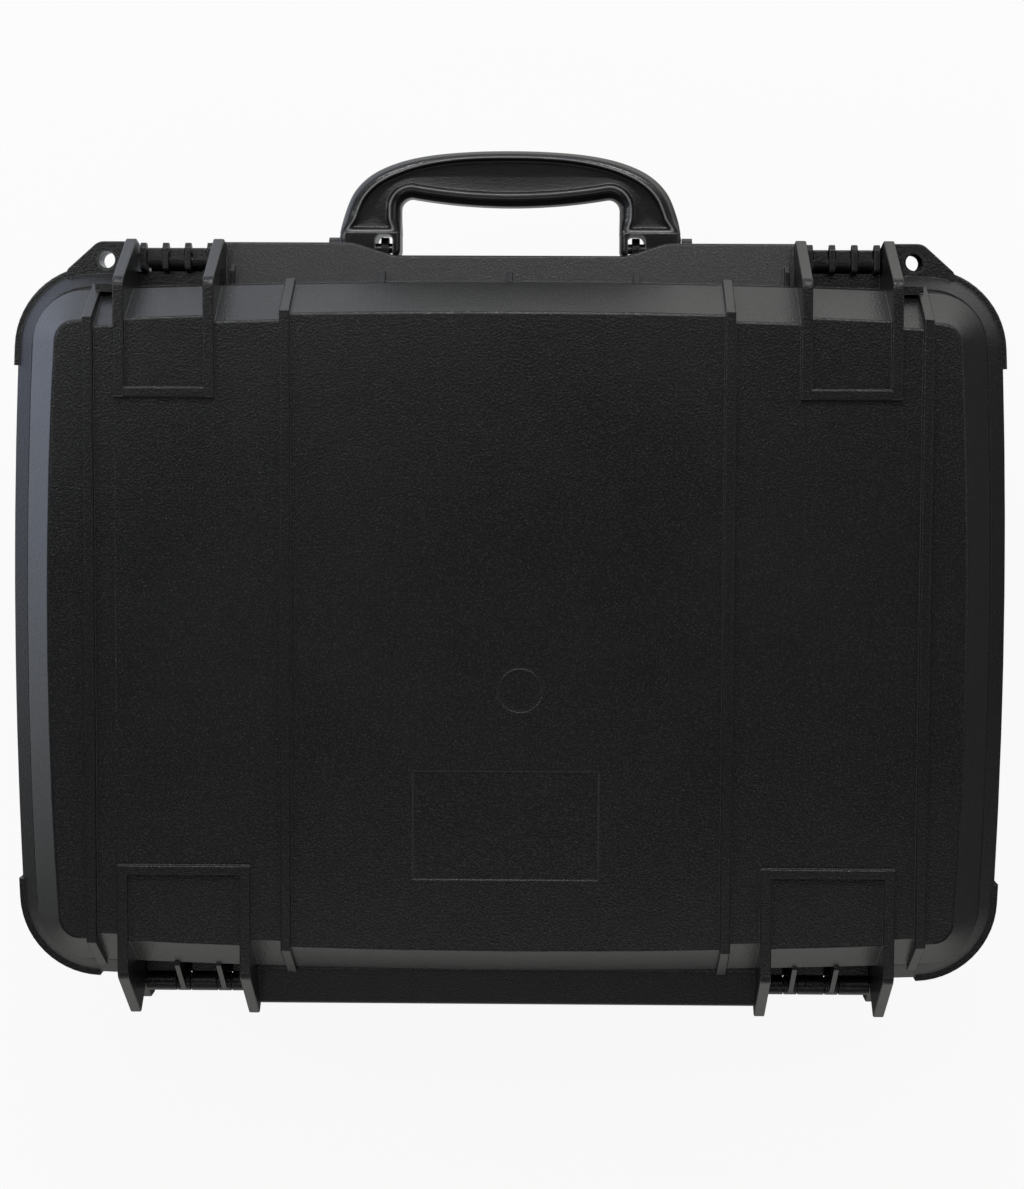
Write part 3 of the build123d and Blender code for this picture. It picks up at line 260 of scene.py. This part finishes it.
# Bumps to the metre of the hand-cut walls and of the nap, and the nap's depth
CUT_WAVES, NAP_WAVES, NAP_DEPTH = 22, 190, 0.0003
# The cut follows a level of the noise, which starts a step further for each seed
CUT_LEVEL, SEED_STEP = 4.0, (3.1, 1.7, 0.9)
# Convoluted foam: points across it, its peaks' pitch, depth and shape, and the calm strip at its edge
CRATE_GRID = (176, 124)
CRATE_PITCH, CRATE_DEPTH, CRATE_ROUNDNESS = 0.019, 0.014, 0.8
CRATE_CALM = 0.008
# Its outline: corners pulled in by a share, gaps to the CAD's block, and a back that tapers
CRATE_CORNER = 0.035
CRATE_EDGE_GAP, CRATE_FRONT_GAP = 0.0012, 0.0006
CRATE_BACK, CRATE_TAPER = 0.012, 0.008
CRATE_NAP_WAVES, CRATE_NAP = 160, 0.0004


def settled(obj):
    """The object's mesh with its modifiers applied."""
    graph = bpy.context.evaluated_depsgraph_get()
    return bpy.data.meshes.new_from_object(obj.evaluated_get(graph))


def new_piece(name, mesh, material, body):
    """A piece of its own in the scene, riding on a body."""
    mesh.name = name
    dress(mesh, material)
    mesh.shade_smooth()
    piece = bpy.data.objects.new(name, mesh)
    scene.collection.objects.link(piece)
    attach(piece, body)
    return piece


def cut_foam(node, body, material, cell, wave, seed):
    """Layer of cut foam: soft edges, hand-cut walls that wander a little, and an uneven nap."""
    rough = bpy.data.objects.new("rough", nodes[node].data.copy())
    rough.matrix_world = nodes[node].matrix_world.copy()
    scene.collection.objects.link(rough)
    rough.modifiers.new("weld", "WELD").merge_threshold = WELD
    remesh = rough.modifiers.new("remesh", "REMESH")
    remesh.mode = "VOXEL"
    remesh.voxel_size = cell
    smooth = rough.modifiers.new("smooth", "SMOOTH")
    smooth.factor, smooth.iterations = 0.5, FOAM_SMOOTHING
    bpy.context.view_layer.update()
    mesh = settled(rough)
    mesh.transform(rough.matrix_world)
    bpy.data.objects.remove(rough)
    low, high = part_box(node)
    centre = (Vector(low) + Vector(high)) / 2
    offset = Vector([seed * step for step in SEED_STEP])
    for vertex, normal in zip(mesh.vertices, [v.normal.copy() for v in mesh.vertices]):
        where = vertex.co
        cut = Vector((where.x * CUT_WAVES, where.y * CUT_WAVES, CUT_LEVEL))
        broad = noise.noise(cut + offset)
        fine = noise.noise(where * NAP_WAVES + offset)
        vertex.co = where - normal * (wave * (0.5 + 0.5 * broad) + NAP_DEPTH * (1 + fine))
    for vertex in mesh.vertices:
        vertex.co = centre + (vertex.co - centre) * FOAM_SHRINK
    piece = new_piece(f"cut_{node}", mesh, material, body)
    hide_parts(node)


def crate_point(u, v, half_x, half_y):
    """Where a point of the square -1 to 1 lies on the pad, and how high its face is lifted there."""
    pull = 1 - CRATE_CORNER * (u * u * v * v) ** 4
    x, y = u * half_x * pull, v * half_y * pull
    wave = math.cos(math.pi * x / CRATE_PITCH) * math.cos(math.pi * y / CRATE_PITCH)
    peak = 0.5 + 0.5 * math.copysign(abs(wave) ** CRATE_ROUNDNESS, wave)
    inset = (1.0 - max(abs(u), abs(v))) * half_y
    calm = max(0.0, min(1.0, inset / CRATE_CALM))
    nap = CRATE_NAP * noise.noise(Vector((x * CRATE_NAP_WAVES, y * CRATE_NAP_WAVES, 0.0)))
    return x, y, CRATE_DEPTH * (1 - peak) * calm + nap


def egg_crate():
    """Convoluted foam in the lid: a solid back and rows of rounded peaks that press on the load."""
    low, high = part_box("lid_foam")
    half_x, half_y = high[0] - CRATE_EDGE_GAP, high[1] - CRATE_EDGE_GAP
    columns, rows = CRATE_GRID
    taper = 1 - 0.5 * CRATE_TAPER / half_x
    bm = bmesh.new()
    bottom, top = {}, {}
    for j in range(rows + 1):
        for i in range(columns + 1):
            x, y, lift = crate_point(2 * i / columns - 1, 2 * j / rows - 1, half_x, half_y)
            bottom[i, j] = bm.verts.new((x, y, low[2] + CRATE_FRONT_GAP + lift))
            top[i, j] = bm.verts.new((x * taper, y * taper, high[2] - CRATE_BACK))
    for j in range(rows):
        for i in range(columns):
            bm.faces.new((bottom[i, j], bottom[i, j + 1], bottom[i + 1, j + 1], bottom[i + 1, j]))
            bm.faces.new((top[i, j], top[i + 1, j], top[i + 1, j + 1], top[i, j + 1]))
    rim = [(i, 0) for i in range(columns)] + [(columns, j) for j in range(rows)]
    rim += [(i, rows) for i in range(columns, 0, -1)] + [(0, j) for j in range(rows, 0, -1)]
    for a, b in zip(rim, rim[1:] + rim[:1]):
        bm.faces.new((bottom[a], bottom[b], top[b], top[a]))
    out = bpy.data.meshes.new("egg_crate")
    bm.to_mesh(out)
    bm.free()
    piece = new_piece("egg_crate_foam", out, PAD_FOAM, "lid")
    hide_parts("lid_foam")


egg_crate()
cut_foam("laptop_foam", "base", FOAM, cell=0.0024, wave=0.0004, seed=1)
cut_foam("accessory_foam", "base", FOAM, cell=0.0030, wave=0.0003, seed=2)
cut_foam("bottom_foam", "base", FOAM, cell=0.0040, wave=0.0002, seed=3)

# ---------------------------------------------------------------- handle
# Y and Z of its pins; places on the handle itself are (from its middle, beyond its pins), in metres
HANDLE_PIN = (-0.1878, 0.1045)
HANDLE_HALF = 0.0118
# Points of the arch: steps along each half, and columns from its outer curve to the opening
HANDLE_STEPS, HANDLE_COLUMNS = 150, 120
# The CAD's feet end here, a little inside the arch
FOOT_CUT = 0.0068
FOOT_OVERLAP = 0.0003
# Length over which the feet's plain section turns into the grip's
FOOT_BLEND = 0.008
# Half of the outer curve, from the foot to the top
HANDLE_CROWN = ((0.0846, 0.0068), (0.0830, 0.0155), (0.0779, 0.0275), (0.0690, 0.0362),
                (0.0560, 0.0421), (0.0400, 0.0456), (0.0200, 0.0474), (0.0, 0.0479))
# The opening's corner, its radius, and how far the grip sags to its middle
GRIP_CORNER = (0.0545, 0.0246)
GRIP_RADIUS = 0.0055
GRIP_SAG = 0.0042
# Points: between two knots of the crown, round the opening's corner, and along the grip
CROWN_STEPS, CORNER_STEPS, GRIP_STEPS = 12, 9, 25
# Rounded flanks: how wide they are at the feet, and what the grip and the sides of it add
FLANK = 0.0030
OUTER_FLANK_GRIP, OUTER_FLANK_SIDE, OUTER_FLANK_SPAN = 0.0004, 0.0024, (0.020, 0.078)
INNER_FLANK_GRIP = 0.0020
# How much further than their width the flanks fall away
OUTER_FALL, INNER_FALL = 0.0030, 0.0024
# Channel in each face: its end over the foot, its gaps to the flanks, and its section
CHANNEL_FOOT = 0.0083
CHANNEL_OUTER_GAP, CHANNEL_INNER_GAP = 0.0005, 0.0006
CHANNEL_DEPTH, CHANNEL_WALL, CHANNEL_BOWL = 0.0030, 0.0016, 0.005
CHANNEL_WALL_SHARE = 0.85
CHANNEL_CORNER = 0.0016
# Lip round the channel: its height, half width, and distance from the channel's edge
LIP_HEIGHT, LIP_WIDTH, LIP_GAP = 0.0005, 0.0004, 0.0003
# Angle in degrees over which the handle's edges stay sharp
SHARP_ANGLE = 35


def crown_curve():
    """Half of the handle's outer edge, from the foot to the middle, as a smooth line."""
    knots = np.array(HANDLE_CROWN)
    knots = np.vstack([2 * knots[0] - knots[1], knots, knots[-2] * (-1, 1)])
    line = []
    for a, b, c, d in zip(knots, knots[1:], knots[2:], knots[3:]):
        for f in np.arange(0, 1, 1 / CROWN_STEPS):
            line.append(0.5 * (2 * b + (c - a) * f + (2 * a - 5 * b + 4 * c - d) * f ** 2
                               + (3 * b - a - 3 * c + d) * f ** 3))
    return np.array(line + [knots[-2]])


def grip_curve():
    """Half of the opening's edge: up the arm, round the corner and along the sagging grip."""
    (x, y), r = GRIP_CORNER, GRIP_RADIUS
    turn = np.radians(np.linspace(0, 90, CORNER_STEPS))
    corner = np.column_stack([x - r + r * np.cos(turn), y - r + r * np.sin(turn)])
    f = np.linspace(0, 1, GRIP_STEPS)[1:]
    grip = np.column_stack([(x - r) * (1 - f), y - GRIP_SAG * (1 - (1 - f) ** 2)])
    return np.vstack([[(x, FOOT_CUT)], corner, grip])


def resampled(line, count):
    """count + 1 points at equal steps along a line."""
    reach = np.concatenate([[0], np.cumsum(np.linalg.norm(np.diff(line, axis=0), axis=1))])
    at = np.linspace(0, reach[-1], count + 1)
    return np.column_stack([np.interp(at, reach, line[:, k]) for k in (0, 1)])


def both_halves(line):
    return np.vstack([line, line[-2::-1] * (-1, 1)])


def distance(points, line):
    """Distance of each point to the nearest part of a line."""
    start, step = line[:-1], np.diff(line, axis=0)
    best = np.full(len(points), 1.0)
    for a, d in zip(start, step):
        f = np.clip(((points - a) @ d) / (d @ d), 0, 1)
        best = np.minimum(best, np.linalg.norm(points - a - f[:, None] * d, axis=1))
    return best


def eased(value, low, high):
    f = np.clip((value - low) / (high - low), 0, 1)
    return f * f * (3 - 2 * f)


def handle_height(points, outer, inner):
    """Half thickness of the handle at each point, and how near the point is to the channel's lip."""
    across, along = np.abs(points[:, 0]), points[:, 1]
    fade = eased(along, FOOT_CUT, FOOT_CUT + FOOT_BLEND)
    side = OUTER_FLANK_SIDE * eased(across, *OUTER_FLANK_SPAN)
    outer_flank = FLANK + fade * (OUTER_FLANK_GRIP + side)
    inner_flank = FLANK + fade * INNER_FLANK_GRIP
    height = np.full(len(points), HANDLE_HALF)
    for reach, width, fall in ((outer, outer_flank, OUTER_FALL), (inner, inner_flank, INNER_FALL)):
        f = 1 - np.minimum(1, reach / width)
        height -= (width + fade * fall) * (1 - np.sqrt(1 - f * f))
    room = np.minimum(outer - outer_flank - CHANNEL_OUTER_GAP, inner - inner_flank - CHANNEL_INNER_GAP)
    foot = along - CHANNEL_FOOT
    near = np.clip(0.5 + 0.5 * (foot - room) / CHANNEL_CORNER, 0, 1)
    inside = foot * (1 - near) + room * near - CHANNEL_CORNER * near * (1 - near)
    wall = eased(inside, 0, CHANNEL_WALL)
    bowl = 1 - np.exp(-np.maximum(0, inside) / CHANNEL_BOWL)
    lip = np.exp(-((inside + LIP_GAP) / LIP_WIDTH) ** 2)
    height -= CHANNEL_DEPTH * (CHANNEL_WALL_SHARE * wall + (1 - CHANNEL_WALL_SHARE) * bowl)
    return height + LIP_HEIGHT * lip * fade, lip


def arch_faces(rows, columns):
    """Faces of two grids of points, the second under the first, closed round their edges."""
    under = rows * columns
    faces = []
    for i in range(rows - 1):
        for j in range(columns - 1):
            a, b = i * columns + j, (i + 1) * columns + j
            faces += [(a, a + 1, b + 1, b), (under + a, under + b, under + b + 1, under + a + 1)]
        for j, flip in ((0, 1), (columns - 1, -1)):
            a, b = i * columns + j, (i + 1) * columns + j
            faces.append((a, b, under + b, under + a)[::flip])
    for i, flip in ((0, -1), (rows - 1, 1)):
        for j in range(columns - 1):
            a = i * columns + j
            faces.append((a, a + 1, under + a + 1, under + a)[::flip])
    return faces


def handle_arch():
    """The arch's mesh, shaped in full, and how near each of its points is to a lip."""
    outer = both_halves(resampled(crown_curve(), HANDLE_STEPS))
    inner = both_halves(resampled(grip_curve(), HANDLE_STEPS))
    share = 0.5 - 0.5 * np.cos(np.pi * np.linspace(0, 1, HANDLE_COLUMNS))[None, :, None]
    flat = (outer[:, None] * (1 - share) + inner[:, None] * share).reshape(-1, 2)
    half, lip = handle_height(flat, distance(flat, outer), distance(flat, inner))
    y0, z0 = HANDLE_PIN
    top = [(x, y0 - y, z0 + h) for (x, y), h in zip(flat, half)]
    bottom = [(x, y0 - y, z0 - h) for (x, y), h in zip(flat, half)]
    mesh = bpy.data.meshes.new("arch")
    mesh.from_pydata(top + bottom, [], arch_faces(len(outer), HANDLE_COLUMNS))
    return mesh, np.concatenate([lip, lip])


def handle_feet():
    """The CAD handle's feet as a mesh of their own: what turns on the pins, cut off and closed."""
    mesh = nodes["handle"].data.copy()
    mesh.transform(nodes["handle"].matrix_world)
    bm = bmesh.new()
    bm.from_mesh(mesh)
    bmesh.ops.remove_doubles(bm, verts=bm.verts, dist=WELD)
    whole = bm.verts[:] + bm.edges[:] + bm.faces[:]
    cut = (0, HANDLE_PIN[0] - FOOT_CUT - FOOT_OVERLAP, 0)
    bmesh.ops.bisect_plane(bm, geom=whole, plane_co=cut, plane_no=(0, -1, 0), clear_outer=True)
    bmesh.ops.holes_fill(bm, edges=[edge for edge in bm.edges if edge.is_boundary], sides=0)
    bm.to_mesh(mesh)
    bm.free()
    return mesh


def make_handle():
    """Handle: the arch on the feet, with its lips marked for a painted highlight."""
    arch, lip = handle_arch()
    bm = bmesh.new()
    # The arch goes in first, so that its points keep their numbers for the lips' attribute
    bm.from_mesh(arch)
    bm.from_mesh(handle_feet())
    bmesh.ops.recalc_face_normals(bm, faces=bm.faces)
    mesh = bpy.data.meshes.new("handle_moulding")
    bm.to_mesh(mesh)
    bm.free()
    piece = new_piece("handle_moulding", mesh, GLOSSY, "handle")
    mesh.set_sharp_from_angle(angle=math.radians(SHARP_ANGLE))
    # The lips are marked for the painted highlight in the handle's material
    lip_highlight = mesh.attributes.new(LIP_HIGHLIGHT_ATTRIBUTE, "FLOAT", "POINT")
    plain = np.zeros(len(mesh.vertices) - len(lip))
    lip_highlight.data.foreach_set("value", np.concatenate([lip, plain]))
    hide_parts("handle")


make_handle()

# ---------------------------------------------------------------- floor, light and camera
FLOOR_SIZE = 14.0
FLOOR_TONES = ((0.86, 0.86, 0.86), (0.89, 0.89, 0.89))
FLOOR_CLOUDS = 3.0
# The share of the floor, as the camera sees it, that is its own white; the rest is lit and shaded paint
FLOOR_GLOW = 0.92
# The floor's light in reflections, as (from, to) along an axis and the light at each
FLOOR_LEFT = (-0.15, 0.50, 0.0, 1.25)
FLOOR_LEFT_FADE = (-0.25, 0.22, 1.25, 0.12)
FLOOR_RIGHT = (-0.20, -0.50, 0.0, 0.11)
FLOOR_FRONT = (-0.20, -0.50, 0.0, 1.75)
FLOOR_BACK = (0.20, 0.50, 0.0, 1.0)
FLOOR_FAR_FADE = (0.9, 2.2, 1.0, 0.35)
# Its tint there: neutral, and cool in the corner towards +X and -Y
NEUTRAL_TINT, COOL_TINT = (0.98, 1.0, 0.95), (0.78, 0.86, 1.08)
COOL_TO_LEFT, COOL_TO_FRONT = (0.0, 0.45, 0.0, 1.0), (0.22, -0.05, 0.0, 1.0)
# The room's light, added up: axis of the direction, from, to, and the light at its end
ROOM_LIGHT = (
    ("X", 0.45, 0.98, 0.06),
    ("X", -0.45, -0.98, 0.05),
    ("Y", -0.30, -0.75, 0.80),
    ("Y", 0.80, 0.98, 0.30),
    ("Z", -1.0, -0.9, 0.012),
)
# That light is a little blue; the camera sees the backdrop's white instead, which meets the floor's
ROOM_BLUE = 1.06
BACKDROP = (0.95, 0.95, 0.95)
# Soft lights: name, place, target, size, watts, colour
SOFTBOXES = (
    ("left_softbox", (1.15, -0.25, 0.45), (0.15, 0.0, 0.10), (0.8, 1.5), 0.5, (0.80, 0.90, 1.0)),
    ("front_softbox", (0.05, -0.66, 1.50), (0.0, -0.2, 0.10), (1.6, 0.35), 3.6, (1.0, 1.0, 0.99)),
    ("back_softbox", (0.0, 0.80, 1.50), (0.0, 0.2, 0.10), (1.6, 0.4), 2.2, (1.0, 1.0, 0.98)),
    ("front_strip", (0.0, -1.10, 1.00), (0.0, -0.2, 0.12), (1.3, 0.04), 7.0, (1.0, 1.0, 1.0)),
    ("right_fill", (-1.20, -0.20, 0.80), (-0.1, 0.0, 0.08), (0.8, 0.8), 1.2, (1.0, 1.0, 1.0)),
    ("back_fill", (0.20, 1.40, 0.70), (0.0, 0.1, 0.08), (1.2, 0.6), 0.6, (1.0, 1.0, 0.98)),
    ("left_strip", (1.05, -0.45, 1.05), (0.1, -0.1, 0.12), (0.05, 1.0), 2.5, (0.95, 0.98, 1.0)),
)
# Camera above the lid, with the picture's top towards -Y; its angles are in degrees
CAMERA_PLACE = (-0.0271, -0.1075, 1.3462)
CAMERA_ANGLES = (-3.885, 0.762, -179.752)
CAMERA_SENSOR, CAMERA_LENS = 36.0, 74.6
CAMERA_SHIFT = (-0.016, -0.0145)
CAMERA_CLIP = (0.05, 50.0)


def make_floor():
    """Plain white floor. It keeps the case's shadow, and shows a set light in reflections."""
    mesh = bpy.data.meshes.new("floor")
    h = FLOOR_SIZE / 2
    mesh.from_pydata([(-h, -h, 0), (h, -h, 0), (h, h, 0), (-h, h, 0)], [], [(0, 1, 2, 3)])
    floor = bpy.data.objects.new("floor", mesh)
    scene.collection.objects.link(floor)
    t = new_material("floor_paint")
    tone = t.mix(t.noise(FLOOR_CLOUDS, 4.0), *FLOOR_TONES)
    t.finish(Base_Color=tone, Roughness=0.9, Specular_IOR_Level=0.2)
    path = t.add("ShaderNodeLightPath").outputs
    far = t.add("ShaderNodeVectorMath", {0: t.coords}, operation="LENGTH").outputs["Value"]
    place = t.add("ShaderNodeSeparateXYZ", {"Vector": t.coords}).outputs
    x, y = place["X"], place["Y"]
    light = t.math("MULTIPLY", t.ramp(x, *FLOOR_LEFT), t.ramp(y, *FLOOR_LEFT_FADE))
    for axis, span in ((y, FLOOR_FRONT), (y, FLOOR_BACK), (x, FLOOR_RIGHT)):
        light = t.math("MAXIMUM", light, t.ramp(axis, *span))
    light = t.math("MULTIPLY", light, t.ramp(far, *FLOOR_FAR_FADE))
    cool = t.math("MULTIPLY", t.ramp(x, *COOL_TO_LEFT), t.ramp(y, *COOL_TO_FRONT))
    tint = t.mix(cool, NEUTRAL_TINT, COOL_TINT)
    white = t.add("ShaderNodeEmission", {"Color": (1.0, 1.0, 1.0, 1.0), "Strength": 1.0})
    mirrored = t.add("ShaderNodeEmission", {"Color": tint, "Strength": light})
    share = t.math("MULTIPLY", path["Is Camera Ray"], FLOOR_GLOW)
    share = t.math("MAXIMUM", share, path["Is Transmission Ray"])
    seen = t.add("ShaderNodeMixShader",
                 {0: share, 1: t.shader.outputs["BSDF"], 2: white.outputs["Emission"]})
    both = t.add("ShaderNodeMixShader",
                 {0: path["Is Glossy Ray"], 1: seen.outputs["Shader"], 2: mirrored.outputs["Emission"]})
    t.links.new(both.outputs["Shader"], t.nodes["Material Output"].inputs["Surface"])
    mesh.materials.append(t.owner)


def make_world():
    """Dim room: lightest in front, some light behind, little from the sides; the camera sees white."""
    scene.world = bpy.data.worlds.new("room")
    t = Tree(scene.world, "Background", "Generated")
    direction = t.add("ShaderNodeSeparateXYZ", {"Vector": t.coords}).outputs
    total = 0.0
    for axis, low, high, top in ROOM_LIGHT:
        total = t.math("ADD", total, t.ramp(direction[axis], low, high, 0.0, top, "SMOOTHSTEP"))
    blue = t.math("MULTIPLY", total, ROOM_BLUE)
    colour = t.add("ShaderNodeCombineColor", {"Red": total, "Green": total, "Blue": blue})
    t.finish(Color=colour.outputs["Color"], Strength=1.0)
    white = t.add("ShaderNodeBackground", {"Color": (*BACKDROP, 1.0)})
    path = t.add("ShaderNodeLightPath").outputs
    seen = t.math("MAXIMUM", path["Is Camera Ray"], path["Is Transmission Ray"])
    both = t.add("ShaderNodeMixShader",
                 {0: seen, 1: t.shader.outputs["Background"], 2: white.outputs["Background"]})
    t.links.new(both.outputs["Shader"], t.nodes["World Output"].inputs["Surface"])


def softbox(name, place, target, size, watts, colour):
    """Rectangular soft light at place, facing target."""
    data = bpy.data.lights.new(name, "AREA")
    data.shape = "RECTANGLE"
    data.size, data.size_y = size
    data.energy = watts
    data.color = colour
    lamp = bpy.data.objects.new(name, data)
    lamp.location = place
    lamp.rotation_euler = (Vector(target) - Vector(place)).to_track_quat("-Z", "Y").to_euler()
    scene.collection.objects.link(lamp)


def make_camera():
    data = bpy.data.cameras.new("camera")
    data.sensor_width = CAMERA_SENSOR
    data.lens = CAMERA_LENS
    data.shift_x, data.shift_y = CAMERA_SHIFT
    data.clip_start, data.clip_end = CAMERA_CLIP
    camera = bpy.data.objects.new("camera", data)
    camera.location = CAMERA_PLACE
    camera.rotation_euler = [math.radians(angle) for angle in CAMERA_ANGLES]
    scene.collection.objects.link(camera)
    scene.camera = camera


make_floor()
make_world()
for row in SOFTBOXES:
    softbox(*row)
make_camera()
scene.view_settings.view_transform = "Standard"
